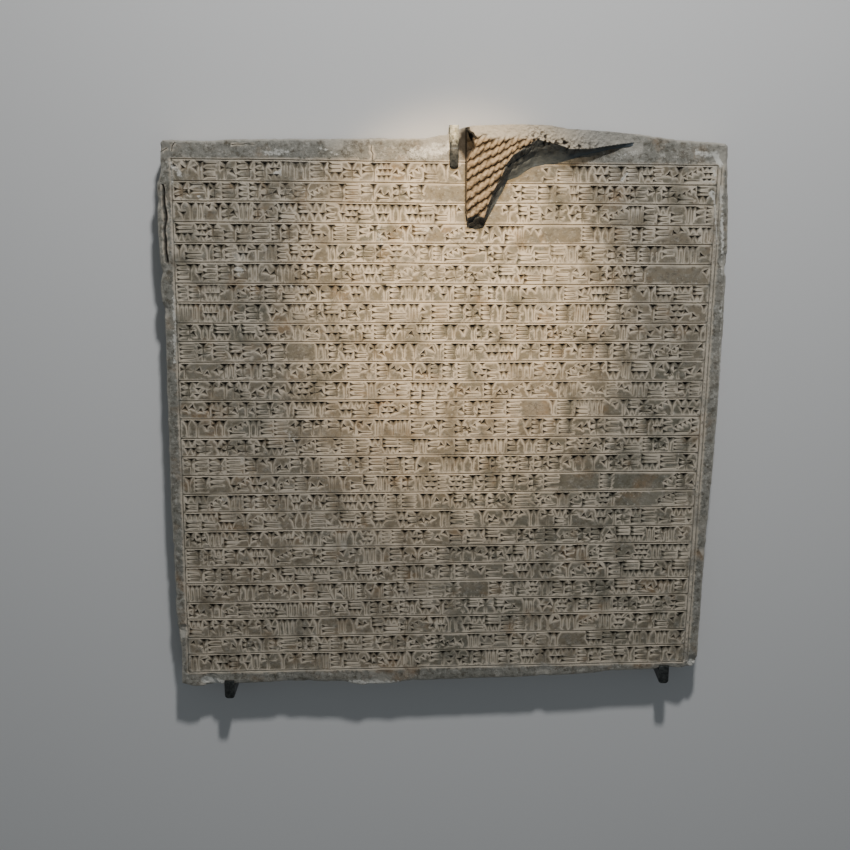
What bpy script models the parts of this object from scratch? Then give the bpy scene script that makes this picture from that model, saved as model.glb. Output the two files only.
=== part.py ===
"""Inscribed stone slab with a carved belly fragment and hair tuft, and the three metal clips that hold it.

Metres, +Z up. The slab lies on its back with the inscribed face up and its head edge towards +Y.
The plan is drawn around the middle of the slab, then everything is moved so that the origin is at the
middle of the whole outline, on the surface that the clips' back plates rest on.
"""
import math

import bmesh
import bpy
from mathutils import Matrix, Vector, noise
from mathutils.geometry import delaunay_2d_cdt

# Slab: a plate whose four sides are a little out of square
SLAB_WIDTH = 1.264
SLAB_LENGTH = 1.306
SLAB_THICK = 0.080
HEAD_FLARE = 0.016
LEFT_LEAN = 0.004
FOOT_RISE = 0.048
HEAD_DROP = 0.008
EDGE_STEP = 0.022
CORNER_WORN = 0.006
ARRIS = 0.003
BACK_ARRIS = 0.003
ARRIS_VARIES = 0.7
EDGE_ROUGHNESS = 0.0016

# Wear along the sides: place along the side from its first corner, how far it is cut back there
LEFT_WEAR = ((0.000, 0.0120), (0.080, 0.0110), (0.094, 0.0016), (0.131, -0.0004), (0.224, -0.0022),
             (0.270, -0.0005), (0.284, 0.0054), (0.300, 0.0006), (0.325, -0.0033), (0.355, -0.0002),
             (0.375, 0.0050), (0.793, -0.0030), (1.065, -0.0011), (1.088, -0.0045), (1.142, -0.0026),
             (1.170, 0.0030), (1.306, 0.0035))
RIGHT_WEAR = ((0.000, 0.0020), (0.030, -0.0018), (0.361, -0.0020), (0.546, -0.0077), (0.885, -0.0065),
              (1.041, -0.0032), (1.244, 0.0110))
FOOT_WEAR = ((0.000, 0.0050), (0.035, -0.0045), (0.070, -0.0040), (0.095, 0.0000), (0.300, 0.0005),
             (0.405, -0.0060), (0.428, -0.0140), (0.485, -0.0165), (0.526, -0.0150), (0.542, -0.0090),
             (0.700, -0.0080), (0.790, -0.0100), (0.930, -0.0085), (1.020, -0.0060), (1.045, -0.0010),
             (1.160, 0.0000), (1.264, 0.0020))

# Belly fragment along the head edge: place from the slab's middle line, rise above the head edge
CREST = ((-0.520, 0.000), (-0.380, 0.004), (-0.032, 0.008), (0.012, 0.017), (0.050, 0.031), (0.078, 0.036),
         (0.177, 0.0395), (0.242, 0.0375), (0.276, 0.031), (0.364, 0.026), (0.430, 0.020), (0.550, 0.006),
         (0.632, 0.000))

# Foot of the relief: place from the tuft's straight side, depth below the head edge
TUFT_STRAIGHT_X = 0.057
RELIEF_FOOT = ((0.000, 0.140), (0.011, 0.187), (0.025, 0.192), (0.043, 0.181), (0.070, 0.134), (0.085, 0.107),
               (0.095, 0.083), (0.117, 0.077), (0.147, 0.057), (0.179, 0.050), (0.211, 0.045), (0.255, 0.029),
               (0.313, 0.015), (0.383, 0.004))

# Arris where its top breaks into the slope, measured the same way
RELIEF_ARRIS = ((0.0362, 0.1838), (0.0500, 0.1340), (0.0621, 0.1003), (0.0792, 0.0698), (0.0879, 0.0449),
                (0.1019, 0.0254), (0.1354, 0.0041), (0.1549, -0.0081), (0.1731, -0.0030), (0.2044, 0.0039),
                (0.2271, 0.0126), (0.2693, 0.0123), (0.3120, 0.0057), (0.3823, -0.0036))
RELIEF_TIP_RISE = 0.030
RELIEF_CREST_RISE = 0.058
RELIEF_END_RISE = 0.006
RELIEF_SUNK = 0.006
RELIEF_EDGE_INSET = 0.0018
RELIEF_CELL = 0.0056
STRAIGHT_SIDE_RUN = 0.0040
TIP_SLOPE_RUN = 0.036
SLOPE_HOLLOW = 1.4
BELLY_FALL_START = 0.130
BROKEN_RISE = 0.0045

# Rope-like locks of the tuft: they fan out from a point up and to the right
LOCK_FAN_REACH = 0.533
LOCK_FAN_ABOVE_HEAD = 0.235
LOCK_PITCH = 0.0300
LOCK_RISE = 0.0050
GRAIN_PITCH = 0.0170
GRAIN_SLANT = 1.15
GRAIN_STAGGER = 0.37
GRAIN_RISE = 0.0026
LOCKS_START_BELOW_HEAD = -0.018
LOCKS_WIDTH = 0.160
LOCKS_EASE = 0.015

# Ruled lines: rows between a head margin and a foot margin, each with a left and a right size
ROW_COUNT = 27
HEAD_MARGIN_LEFT = 0.041
HEAD_MARGIN_RIGHT = 0.046
FOOT_MARGIN_LEFT = 0.036
FOOT_MARGIN_RIGHT = 0.016
LEFT_MARGIN_HEAD = 0.035
LEFT_MARGIN_FOOT = 0.020
RIGHT_MARGIN_HEAD = 0.030
RIGHT_MARGIN_FOOT = 0.032
RIGHT_DOUBLE_GAP = 0.009
RULE_WIDTH = 0.0034
RULE_DEPTH = 0.0018
RULE_SEGMENTS = 7
RULE_WAVER = 0.0022
RULE_HAND = 0.0016

# Clips: bent and welded flat bar, with a named gap to the stone
CLIP_GAP = 0.0004
EDGE_CLEARANCE = 0.0030
CLIP_PLATE_THICK = 0.005
TOP_CLIP_TO_TUFT = 0.0145
TOP_CLIP_WIDTH = 0.0200
TOP_CLIP_THICK = 0.006
TOP_CLIP_PAD_THICK = 0.009
TOP_CLIP_REACH = 0.090
TOP_CLIP_PAD_LENGTH = 0.040
TOP_CLIP_PLATE = 0.070
TIP_ROUNDING = 0.42
FOOT_CLIP_LEFT_IN = 0.120
FOOT_CLIP_RIGHT_IN = 0.079
FOOT_CLIP_WIDTH = 0.0245
FOOT_CLIP_DROP = 0.032
FOOT_CLIP_LIP = 0.011
FOOT_CLIP_LIP_THICK = 0.0065
FOOT_CLIP_PLATE = 0.075
FOOT_CLIP_CORNER = 0.008

for leftover in list(bpy.data.objects):
    bpy.data.objects.remove(leftover, do_unlink=True)

BACK_Z = CLIP_PLATE_THICK + CLIP_GAP
FACE_Z = BACK_Z + SLAB_THICK
FOOT_LEFT = Vector((-SLAB_WIDTH / 2, -SLAB_LENGTH / 2))
FOOT_RIGHT = Vector((SLAB_WIDTH / 2, -SLAB_LENGTH / 2 + FOOT_RISE))
HEAD_LEFT = Vector((-SLAB_WIDTH / 2 + LEFT_LEAN, SLAB_LENGTH / 2))
HEAD_RIGHT = Vector((SLAB_WIDTH / 2 + HEAD_FLARE, SLAB_LENGTH / 2 - HEAD_DROP))


def blend(low, high, share):
    """Value between two others."""
    return low + (high - low) * share


def smooth(share):
    """Ease from 0 to 1."""
    share = min(max(share, 0.0), 1.0)
    return share * share * (3 - 2 * share)


def along(points, x):
    """Height of a chain of (x, height) points at x, held level past its ends."""
    if x <= points[0][0]:
        return points[0][1]
    for (x_a, h_a), (x_b, h_b) in zip(points, points[1:]):
        if x <= x_b:
            return blend(h_a, h_b, (x - x_a) / (x_b - x_a))
    return points[-1][1]


def head_line(x):
    """Straight line of the head edge, without the belly's crest."""
    return blend(HEAD_LEFT.y, HEAD_RIGHT.y, (x - HEAD_LEFT.x) / (HEAD_RIGHT.x - HEAD_LEFT.x))


def head_edge(x):
    """Broken head edge, with the belly's crest standing above it."""
    return head_line(x) + along(CREST, x)


def foot_edge(x):
    """Straight line of the foot edge."""
    return blend(FOOT_LEFT.y, FOOT_RIGHT.y, (x - FOOT_LEFT.x) / (FOOT_RIGHT.x - FOOT_LEFT.x))


def chipped(place, side):
    """Small roughness of a sawn and battered edge."""
    return EDGE_ROUGHNESS * noise.noise(Vector((place * 21.0, side * 7.3, 0.4)))


def worn_side(start, end, marks, side):
    """Points along a side from start to end, pushed towards the middle of the slab by its wear."""
    run = end - start
    inward = Vector((-run.y, run.x)).normalized()
    steps = max(int(run.length / EDGE_STEP), 2)
    points = []
    for i in range(steps + 1):
        place = blend(CORNER_WORN, run.length - CORNER_WORN, i / steps)
        cut = along(marks, place) + chipped(place, side)
        points.append(start + run * (place / run.length) + inward * cut)
    return points


def slab_outline():
    """The slab's outline, counter-clockwise from its left foot corner."""
    foot = worn_side(FOOT_LEFT, FOOT_RIGHT, FOOT_WEAR, 1)
    right = worn_side(FOOT_RIGHT, HEAD_RIGHT, RIGHT_WEAR, 2)
    left = worn_side(HEAD_LEFT, FOOT_LEFT, LEFT_WEAR, 4)
    head = []
    steps = int((HEAD_RIGHT.x - HEAD_LEFT.x) / EDGE_STEP)
    for i in range(steps + 1):
        x = blend(right[-1].x - CORNER_WORN, left[0].x + CORNER_WORN, i / steps)
        head.append(Vector((x, head_edge(x) + chipped(x, 3))))
    return foot + right + head + left


def plate_mesh(name, outline, low, high, arris_low, arris_high):
    """Closed plate over an outline, with a worn bevel along its upper and lower arris."""
    bm = bmesh.new()
    count = len(outline)
    rings = []
    for z, inset, key in ((low, arris_low, 1), (low + arris_low, 0, 2), (high, 0, 3), (high, arris_high, 4)):
        ring = []
        for i, point in enumerate(outline):
            run = outline[(i + 1) % count] - outline[i - 1]
            inward = Vector((-run.y, run.x)).normalized()
            width = inset * (1 + ARRIS_VARIES * noise.noise(Vector((i * 0.9, key, 2.2))))
            worn = arris_high * (1 + ARRIS_VARIES * noise.noise(Vector((i * 0.7, 9.1, 3.3))))
            place = point + inward * width
            ring.append(bm.verts.new((place.x, place.y, z - worn if key == 3 else z)))
        rings.append(ring)
    for lower, upper in zip(rings, rings[1:]):
        for i in range(count):
            j = (i + 1) % count
            bm.faces.new((lower[i], lower[j], upper[j], upper[i]))
    bm.faces.new(rings[-1])
    bm.faces.new(list(reversed(rings[0])))
    bmesh.ops.recalc_face_normals(bm, faces=bm.faces)
    mesh = bpy.data.meshes.new(name)
    bm.to_mesh(mesh)
    bm.free()
    return mesh


def put(name, mesh):
    """Link a mesh to the scene as an object."""
    thing = bpy.data.objects.new(name, mesh)
    bpy.context.scene.collection.objects.link(thing)
    return thing


def finish(name, colour, roughness, metallic):
    """Plain Principled material."""
    material = bpy.data.materials.new(name)
    material.use_nodes = True
    shader = material.node_tree.nodes["Principled BSDF"]
    shader.inputs["Base Color"].default_value = (*colour, 1)
    shader.inputs["Roughness"].default_value = roughness
    shader.inputs["Metallic"].default_value = metallic
    return material


def hide_tool(thing):
    """Mark a Boolean's tool body, which is no part of the object."""
    thing.hide_render = True
    thing.display_type = 'WIRE'


def boolean(thing, tool, operation):
    """Add an exact Boolean to an object."""
    step = thing.modifiers.new(tool.name, 'BOOLEAN')
    step.operation = operation
    step.solver = 'EXACT'
    step.object = tool
    hide_tool(tool)


def bar_along(bm, points):
    """V-shaped tool along a chain of points: it stands as far out of the face as its point goes in."""
    rings = []
    for i, point in enumerate(points):
        run = points[min(i + 1, len(points) - 1)] - points[max(i - 1, 0)]
        across = Vector((-run.y, run.x)).normalized() * RULE_WIDTH
        rings.append([bm.verts.new((point.x + across.x, point.y + across.y, FACE_Z + RULE_DEPTH)),
                      bm.verts.new((point.x, point.y, FACE_Z - RULE_DEPTH)),
                      bm.verts.new((point.x - across.x, point.y - across.y, FACE_Z + RULE_DEPTH))])
    for near, far in zip(rings, rings[1:]):
        for i in range(3):
            j = (i + 1) % 3
            bm.faces.new((near[i], near[j], far[j], far[i]))
    bm.faces.new(list(reversed(rings[0])))
    bm.faces.new(rings[-1])


def field_x(side, y):
    """Left (-1) or right (1) border line of the ruled field at a height on the slab."""
    share = (y - FOOT_LEFT.y) / (HEAD_LEFT.y - FOOT_LEFT.y)
    if side < 0:
        return blend(FOOT_LEFT.x + LEFT_MARGIN_FOOT, HEAD_LEFT.x + LEFT_MARGIN_HEAD, share)
    return blend(FOOT_RIGHT.x - RIGHT_MARGIN_FOOT, HEAD_RIGHT.x - RIGHT_MARGIN_HEAD, share)


def rule_ends(row):
    """Left and right ends of the ruled line above a row."""
    share = row / ROW_COUNT
    left_y = blend(HEAD_LEFT.y - HEAD_MARGIN_LEFT, FOOT_LEFT.y + FOOT_MARGIN_LEFT, share)
    right_y = blend(HEAD_RIGHT.y - HEAD_MARGIN_RIGHT, FOOT_RIGHT.y + FOOT_MARGIN_RIGHT, share)
    left_y += RULE_HAND * math.sin(row * 2.9 + 0.7)
    right_y += RULE_HAND * math.sin(row * 2.3 + 4.1)
    return Vector((field_x(-1, left_y), left_y)), Vector((field_x(1, right_y), right_y))


def ruled_rows():
    """Tool that cuts the horizontal ruled lines, each a little wavy as cut by hand."""
    bm = bmesh.new()
    for row in range(ROW_COUNT + 1):
        left, right = rule_ends(row)
        points = []
        for i in range(RULE_SEGMENTS + 1):
            share = i / RULE_SEGMENTS
            point = left.lerp(right, share)
            waver = noise.noise(Vector((share * 3.0, row * 1.7, 5.0)))
            points.append(point + Vector((0, RULE_WAVER * waver * math.sin(math.pi * share))))
        bar_along(bm, points)
    bmesh.ops.recalc_face_normals(bm, faces=bm.faces)
    mesh = bpy.data.meshes.new("ruled_rows")
    bm.to_mesh(mesh)
    bm.free()
    return put("ruled_rows", mesh)


def ruled_borders():
    """Tool that cuts the upright border lines: one on the left, two on the right."""
    bm = bmesh.new()
    top = HEAD_LEFT.y - HEAD_MARGIN_LEFT
    bottom = FOOT_LEFT.y + FOOT_MARGIN_LEFT
    for side, shift in ((-1, 0), (1, 0), (1, RIGHT_DOUBLE_GAP)):
        points = []
        for i in range(RULE_SEGMENTS + 1):
            y = blend(bottom if side < 0 else bottom + FOOT_RISE, top, i / RULE_SEGMENTS)
            waver = RULE_HAND / 2 * noise.noise(Vector((i * 1.3, side * 3.1, shift * 90)))
            points.append(Vector((field_x(side, y) + shift + waver, y)))
        bar_along(bm, points)
    bmesh.ops.recalc_face_normals(bm, faces=bm.faces)
    mesh = bpy.data.meshes.new("ruled_borders")
    bm.to_mesh(mesh)
    bm.free()
    return put("ruled_borders", mesh)


def relief_chain(marks):
    """The relief's foot or its arris as plan points, from the tuft to the belly's end."""
    chain = []
    for run, depth in marks:
        x = TUFT_STRAIGHT_X + run
        chain.append(Vector((x, head_line(x) - depth)))
    return chain


def chain_distance(point, chain):
    """Shortest distance from a point to a chain of points."""
    best = 9.0
    for start, end in zip(chain, chain[1:]):
        run = end - start
        share = min(max((point - start).dot(run) / run.length_squared, 0), 1)
        best = min(best, (point - start - run * share).length)
    return best


def lock_relief(x, y):
    """Rise of the rope-like locks over the tuft's ground at a point."""
    reach_x = TUFT_STRAIGHT_X + LOCK_FAN_REACH - x
    reach_y = head_line(x) + LOCK_FAN_ABOVE_HEAD - y
    lock = math.atan2(reach_y, reach_x) / LOCK_PITCH
    across = lock - math.floor(lock)
    radius = math.hypot(reach_x, reach_y)
    grain = radius / GRAIN_PITCH + GRAIN_SLANT * across + GRAIN_STAGGER * math.floor(lock)
    crown = math.sin(math.pi * across) ** 0.7
    swell = abs(math.sin(math.pi * grain)) ** 0.6
    return crown * (LOCK_RISE + GRAIN_RISE * swell) - LOCK_RISE / 2


def slope_share(point, place, depth, foot, arris):
    """How far up the slope a plan point lies: 0 at the relief's foot, 1 from its arris on."""
    below_arris = depth > along(RELIEF_ARRIS, place)
    if place > RELIEF_ARRIS[0][0] and below_arris or depth > RELIEF_ARRIS[0][1]:
        from_foot = chain_distance(point, foot[1:])
        return from_foot / (from_foot + chain_distance(point, arris) + 1e-6)
    return 1.0


def relief_rise(x, y, foot, arris):
    """Height of the relief above the slab's face at a plan point."""
    point = Vector((x, y))
    depth = head_line(x) - y
    place = x - TUFT_STRAIGHT_X
    fall = (place - BELLY_FALL_START) / (RELIEF_FOOT[-1][0] - BELLY_FALL_START)
    ground = blend(RELIEF_CREST_RISE, RELIEF_TIP_RISE, smooth(depth / RELIEF_FOOT[1][1]))
    ground = blend(ground, RELIEF_END_RISE, min(max(fall, 0), 1))
    broken = BROKEN_RISE * noise.noise(Vector((x * 55, y * 55, 1)))
    broken += BROKEN_RISE * noise.noise(Vector((x * 140, y * 140, 4)))
    locks = smooth((depth - LOCKS_START_BELOW_HEAD) / LOCKS_EASE) * smooth((LOCKS_WIDTH - place) / LOCKS_EASE)
    top = ground + blend(broken, lock_relief(x, y), locks)
    side = min(slope_share(point, place, depth, foot, arris), (y - foot[2].y) / TIP_SLOPE_RUN)
    straight = place / STRAIGHT_SIDE_RUN
    rise = min(max(side, 0) ** SLOPE_HOLLOW * top, min(max(straight, 0), 1) * top)
    return max(rise, 0)


def relief_body():
    """The belly fragment and the tuft as one closed body, sunk a little into the slab's face."""
    foot = relief_chain(RELIEF_FOOT)
    arris = relief_chain(RELIEF_ARRIS)
    rim = list(foot)
    crest_steps = int((foot[-1].x - TUFT_STRAIGHT_X) / (2 * RELIEF_CELL))
    for i in range(crest_steps + 1):
        x = blend(foot[-1].x, TUFT_STRAIGHT_X, i / crest_steps)
        rim.append(Vector((x, head_edge(x) - RELIEF_EDGE_INSET)))
    top_left = rim[-1]
    straight_steps = int((top_left - foot[0]).length / (2 * RELIEF_CELL))
    for i in range(1, straight_steps):
        rim.append(top_left.lerp(foot[0], i / straight_steps))
    rim_count = len(rim)
    closed = rim + [rim[0]]
    inner = []
    rows = int((max(p.y for p in rim) - foot[2].y) / RELIEF_CELL)
    for j in range(rows):
        y = foot[2].y + RELIEF_CELL * (j + 0.5)
        steps = int((foot[-1].x - TUFT_STRAIGHT_X) / RELIEF_CELL)
        for i in range(steps):
            x = TUFT_STRAIGHT_X + RELIEF_CELL * (i + 0.5 * (j % 2) + 0.35)
            point = Vector((x, y))
            if chain_distance(point, closed) > RELIEF_CELL * 0.4:
                inner.append(point)
    edges = [(i, (i + 1) % rim_count) for i in range(rim_count)]
    plan, plan_edges, plan_faces, *rest = delaunay_2d_cdt(rim + inner, edges, [], 1, 0.0001)
    bm = bmesh.new()
    top = [bm.verts.new((p.x, p.y, FACE_Z + relief_rise(p.x, p.y, foot, arris))) for p in plan]
    low = [bm.verts.new((p.x, p.y, FACE_Z - RELIEF_SUNK)) for p in plan]
    for face in plan_faces:
        bm.faces.new([top[i] for i in face])
        bm.faces.new([low[i] for i in reversed(face)])
    upper_z = FACE_Z - RELIEF_SUNK / 2
    rim_edges = [edge for edge in bm.edges if edge.is_boundary and edge.verts[0].co.z > upper_z]
    index = {vert: i for i, vert in enumerate(top)}
    for edge in rim_edges:
        a, b = edge.verts
        bm.faces.new((a, b, low[index[b]], low[index[a]]))
    flat_edges = [edge for edge in bm.edges if max(v.co.z for v in edge.verts) < upper_z]
    bmesh.ops.dissolve_limit(bm, angle_limit=0.001, verts=low, edges=flat_edges)
    bmesh.ops.recalc_face_normals(bm, faces=bm.faces)
    mesh = bpy.data.meshes.new("relief")
    bm.to_mesh(mesh)
    bm.free()
    return put("relief", mesh)


def bar_from_profile(name, profile, x, width, corner, corner_test):
    """Bar of a given width whose side view is a profile of (y, z) points, with rounded free corners."""
    bm = bmesh.new()
    left = [bm.verts.new((x - width / 2, y, z)) for y, z in profile]
    face = bm.faces.new(left)
    moved = bmesh.ops.extrude_face_region(bm, geom=[face])["geom"]
    bmesh.ops.translate(bm, verts=[v for v in moved if isinstance(v, bmesh.types.BMVert)], vec=(width, 0, 0))
    bmesh.ops.recalc_face_normals(bm, faces=bm.faces)
    rounded = [e for e in bm.edges if corner_test(e)]
    bmesh.ops.bevel(bm, geom=rounded, offset=corner, segments=4, profile=0.5, affect='EDGES', material=-1)
    mesh = bpy.data.meshes.new(name)
    bm.to_mesh(mesh)
    bm.free()
    return put(name, mesh)


def upright_edge_at(y, z_low):
    """Test for the upright edges of a bar's free end."""
    def test(edge):
        a, b = (v.co for v in edge.verts)
        upright = abs(a.z - b.z) > 0.001 and abs(a.x - b.x) < 1e-6 and abs(a.y - b.y) < 1e-6
        return upright and abs(a.y - y) < 1e-5 and min(a.z, b.z) >= z_low - 1e-5
    return test


def top_clip():
    """Strap hooked over the head edge, with a padded finger on the face and a plate under the back."""
    reach_x = TUFT_STRAIGHT_X - TOP_CLIP_TO_TUFT
    clear_y = head_edge(reach_x) + EDGE_CLEARANCE
    outer_y = clear_y + TOP_CLIP_THICK
    finger_y = outer_y - TOP_CLIP_REACH
    plate_y = outer_y - TOP_CLIP_PLATE
    strap_top = FACE_Z + CLIP_GAP + TOP_CLIP_THICK
    pad_top = FACE_Z + CLIP_GAP + TOP_CLIP_PAD_THICK
    pad_y = finger_y + TOP_CLIP_PAD_LENGTH
    profile = ((plate_y, 0), (outer_y, 0), (outer_y, strap_top), (pad_y, strap_top), (pad_y, pad_top),
               (finger_y, pad_top), (finger_y, FACE_Z + CLIP_GAP), (clear_y, FACE_Z + CLIP_GAP),
               (clear_y, CLIP_PLATE_THICK), (plate_y, CLIP_PLATE_THICK))
    return bar_from_profile("top_clip", profile, reach_x - TOP_CLIP_WIDTH / 2, TOP_CLIP_WIDTH,
                            TOP_CLIP_WIDTH * TIP_ROUNDING, upright_edge_at(finger_y, FACE_Z))


def foot_clip(name, x):
    """Bracket under the foot edge: a deep shoe with a short lip on the face and a plate under the back."""
    half = FOOT_CLIP_WIDTH / 2
    stone_y = min(foot_edge(x - half), foot_edge(x + half)) - EDGE_CLEARANCE
    low_y = stone_y - FOOT_CLIP_DROP
    lip_y = stone_y + EDGE_CLEARANCE + FOOT_CLIP_LIP
    lip_top = FACE_Z + CLIP_GAP + FOOT_CLIP_LIP_THICK
    plate_y = stone_y + FOOT_CLIP_PLATE
    profile = ((low_y, 0), (plate_y, 0), (plate_y, CLIP_PLATE_THICK), (stone_y, CLIP_PLATE_THICK),
               (stone_y, FACE_Z + CLIP_GAP), (lip_y, FACE_Z + CLIP_GAP), (lip_y, lip_top), (low_y, lip_top))
    return bar_from_profile(name, profile, x, FOOT_CLIP_WIDTH, FOOT_CLIP_CORNER, upright_edge_at(low_y, 0))


stone = finish("weathered_stone", (0.27, 0.25, 0.19), 0.85, 0.0)
steel = finish("dark_steel", (0.035, 0.036, 0.035), 0.50, 0.6)

slab = put("slab", plate_mesh("slab", slab_outline(), BACK_Z, FACE_Z, BACK_ARRIS, ARRIS))
slab.data.materials.append(stone)
boolean(slab, ruled_rows(), 'DIFFERENCE')
boolean(slab, ruled_borders(), 'DIFFERENCE')
boolean(slab, relief_body(), 'UNION')

clips = [top_clip(),
         foot_clip("bottom_clip_left", FOOT_LEFT.x + FOOT_CLIP_LEFT_IN),
         foot_clip("bottom_clip_right", FOOT_RIGHT.x - FOOT_CLIP_RIGHT_IN)]
for clip in clips:
    clip.data.materials.append(steel)

# The origin goes to the middle of the whole outline
corners = [vert.co for thing in [slab] + clips for vert in thing.data.vertices]
centre_x = (min(c.x for c in corners) + max(c.x for c in corners)) / 2
centre_y = (min(c.y for c in corners) + max(c.y for c in corners)) / 2
for thing in list(bpy.data.objects):
    thing.data.transform(Matrix.Translation((-centre_x, -centre_y, 0)))
    thing.data.update()
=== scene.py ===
import math
import random

import bmesh
import bpy
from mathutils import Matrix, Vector, noise
from mathutils.geometry import delaunay_2d_cdt


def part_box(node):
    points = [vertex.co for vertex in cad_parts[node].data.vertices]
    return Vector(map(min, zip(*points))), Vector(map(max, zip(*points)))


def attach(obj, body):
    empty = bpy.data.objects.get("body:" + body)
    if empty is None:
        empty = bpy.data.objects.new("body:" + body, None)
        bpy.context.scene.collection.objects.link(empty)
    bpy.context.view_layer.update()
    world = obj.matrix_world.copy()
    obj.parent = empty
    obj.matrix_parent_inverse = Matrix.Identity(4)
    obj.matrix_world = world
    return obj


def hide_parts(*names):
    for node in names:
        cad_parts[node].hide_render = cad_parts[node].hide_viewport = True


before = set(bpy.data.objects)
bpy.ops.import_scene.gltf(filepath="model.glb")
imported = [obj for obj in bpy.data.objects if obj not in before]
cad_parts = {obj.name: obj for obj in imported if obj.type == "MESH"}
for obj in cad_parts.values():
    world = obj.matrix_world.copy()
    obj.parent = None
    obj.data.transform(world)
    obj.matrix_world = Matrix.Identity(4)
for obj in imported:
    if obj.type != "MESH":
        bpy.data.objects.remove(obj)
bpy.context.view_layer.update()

# Slab: one sawn slab of gypsum alabaster, 80 mm thick, its sides battered and its arris worn round.
# The face was rubbed flat by hand, so it sways by a millimetre or two, and it has lost flakes along
# its edges and corners. Its outline is read from the solid.
SLAB_MIDDLE = Vector((-0.0073, -0.0017))
SLAB_WIDTH = 1.264
SLAB_LENGTH = 1.306
SLAB_THICK = 0.080
HEAD_FLARE = 0.016
LEFT_LEAN = 0.004
FOOT_RISE = 0.048
HEAD_DROP = 0.008
BACK_ARRIS = 0.003
BACK_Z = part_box("slab")[0].z
FACE_Z = BACK_Z + SLAB_THICK
EDGE_STEP = 0.006
CRACK_STEP = 0.007
ARRIS_STEPS = ((0.0, 1.0), (0.0022, 0.42), (0.0055, 0.10))
ARRIS_DROP = 0.0032
GROUND_STEP = 0.0062
GROUND_SEED = 5
DEPTH_CELL = 0.012
TRIANGLE_HEIGHT = 0.866
WALL_TOP_BELOW_FACE = 0.006
WALL_LEVELS = (0.72, 0.46, 0.22, 0.0)
BACK_STEP = 0.03

foot_left = SLAB_MIDDLE + Vector((-SLAB_WIDTH / 2, -SLAB_LENGTH / 2))
foot_right = SLAB_MIDDLE + Vector((SLAB_WIDTH / 2, -SLAB_LENGTH / 2 + FOOT_RISE))
head_left = SLAB_MIDDLE + Vector((-SLAB_WIDTH / 2 + LEFT_LEAN, SLAB_LENGTH / 2))
head_right = SLAB_MIDDLE + Vector((SLAB_WIDTH / 2 + HEAD_FLARE, SLAB_LENGTH / 2 - HEAD_DROP))

# Colours of the stone, its skin, its dirt and its wear, with painted shade and painted highlights
HANDLED_BROWN = (0.272, 0.222, 0.152)
SHADED_BROWN = (0.198, 0.176, 0.126)
BORDER_GREY = (0.285, 0.276, 0.240)
BORDER_DARK = (0.105, 0.103, 0.080)
BORDER_PALE = (0.54, 0.51, 0.44)
# Ochre of the tuft's locks, partly a painted warm light on them
TUFT_OCHRE_AND_WARM_LIGHT = (0.46, 0.325, 0.190)
RUST = (0.31, 0.19, 0.09)
DUST = (0.42, 0.375, 0.30)
MOSS_GREY = (0.125, 0.125, 0.095)
DARK_GRAINS = (0.100, 0.078, 0.050)
PALE_GRAINS = (0.58, 0.53, 0.45)
WORN_ARRIS = (0.49, 0.455, 0.385)
SCUFF_WHITE = (0.78, 0.75, 0.67)
# Pale lips of the cuts and lines: rubbed stone with a painted highlight
RUBBED_LIP_AND_HIGHLIGHT = (0.72, 0.62, 0.48)
# Cool blue-grey of the relief's slopes: painted shade
SLOPE_SHADE_BLUE_GREY = (0.130, 0.160, 0.180)
# Near black for dirt and painted shade deep in the cuts, in the tuft's corner, between its locks and on its
# slopes
CUT_DIRT_AND_SHADE = (0.018, 0.015, 0.011)

# Lost flakes: place on the face, radius, depth
SPALLS = ((-0.566, -0.648, 0.030, 0.009), (-0.628, 0.632, 0.018, 0.005), (0.628, 0.616, 0.036, 0.005),
          (0.600, 0.598, 0.022, 0.003), (-0.150, -0.650, 0.045, 0.005), (0.622, -0.600, 0.034, 0.009),
          (0.560, -0.604, 0.030, 0.004), (-0.640, 0.360, 0.016, 0.006), (-0.632, 0.275, 0.018, 0.007),
          (0.642, 0.385, 0.022, 0.006), (-0.020, 0.640, 0.030, 0.004), (0.020, 0.655, 0.024, 0.005),
          (-0.628, -0.508, 0.020, 0.006), (0.634, -0.300, 0.018, 0.004), (-0.240, 0.652, 0.030, 0.003),
          (0.420, 0.640, 0.030, 0.003), (0.250, -0.622, 0.022, 0.004), (-0.380, -0.646, 0.024, 0.004),
          (-0.455, 0.400, 0.017, 0.0026), (-0.400, 0.415, 0.008, 0.0020), (-0.340, 0.330, 0.010, 0.0018),
          (-0.470, -0.075, 0.012, 0.0018), (-0.235, -0.290, 0.014, 0.0020), (0.120, -0.430, 0.012, 0.0020),
          (0.330, -0.150, 0.010, 0.0018), (-0.080, 0.100, 0.012, 0.0020), (0.230, 0.280, 0.010, 0.0018),
          (-0.550, 0.555, 0.008, 0.0030), (-0.535, 0.525, 0.006, 0.0030), (0.360, 0.430, 0.010, 0.0020),
          (-0.310, -0.520, 0.012, 0.0020), (0.455, -0.330, 0.010, 0.0018), (-0.560, -0.300, 0.011, 0.0020))

# Cracks and scratches: two ends on the face, half width, depth, and how far they wander
CRACKS = ((-0.1569, 0.6369, -0.1540, 0.5982, 0.0016, 0.0030, 0.004),
          (-0.6225, 0.5540, -0.6215, 0.3844, 0.0046, 0.0080, 0.005),
          (-0.5915, 0.6460, -0.5990, 0.6300, 0.0015, 0.0035, 0.004),
          (-0.6100, 0.6340, -0.6340, 0.6230, 0.0013, 0.0030, 0.004),
          (-0.4650, 0.6425, -0.4180, 0.6435, 0.0015, 0.0025, 0.003),
          (-0.2362, 0.3211, -0.2552, 0.2755, 0.0013, 0.0012, 0.002),
          (0.1306, -0.1250, 0.1548, -0.1644, 0.0012, 0.0012, 0.002),
          (-0.0910, -0.1694, -0.0832, -0.6280, 0.0009, 0.0006, 0.007),
          (0.4085, 0.5808, 0.3980, 0.5656, 0.0014, 0.0014, 0.002),
          (0.0200, 0.4360, 0.0520, 0.4080, 0.0013, 0.0014, 0.003))

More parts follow.
